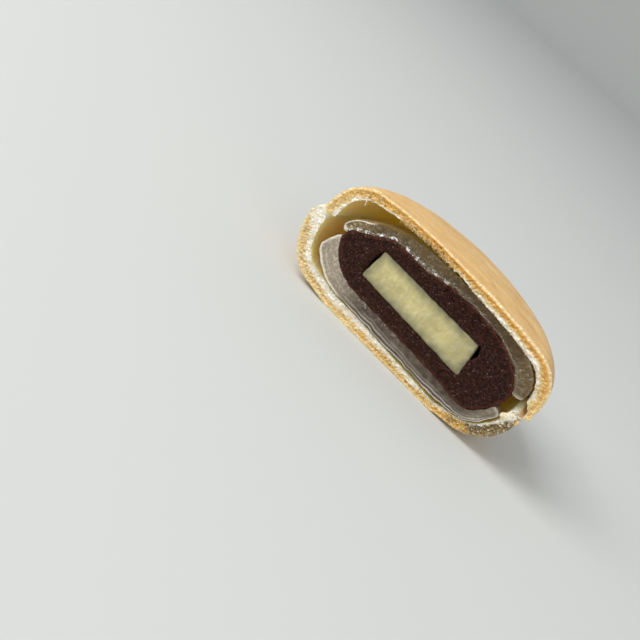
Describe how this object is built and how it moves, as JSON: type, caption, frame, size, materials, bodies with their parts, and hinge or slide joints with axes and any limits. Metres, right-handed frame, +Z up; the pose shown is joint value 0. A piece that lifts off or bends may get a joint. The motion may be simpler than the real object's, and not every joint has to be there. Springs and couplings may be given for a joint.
{
  "type": "half monaka",
  "caption": "Round crisp wafer sweet cut in half, with mochi sheets, red bean paste and a pat of butter showing at the cut face; lies on its flat base.",
  "frame": {"origin": "on the surface the half rests on, under the middle of its bounding box", "axes": "+Z up through the crown of the top wafer shell; X along the cut face; the cut face looks along -Y"},
  "size_m": [0.0712, 0.035, 0.0314],
  "materials": {
    "wafer": "satin",
    "mochi": "gloss",
    "bean_paste": "matte",
    "butter": "satin"
  },
  "bodies": {
    "root": {"wafer_bottom": "wafer", "wafer_top": "wafer", "mochi_lower": "mochi", "mochi_upper": "mochi", "bean_paste": "bean_paste", "butter": "butter"}
  },
  "joints": []
}
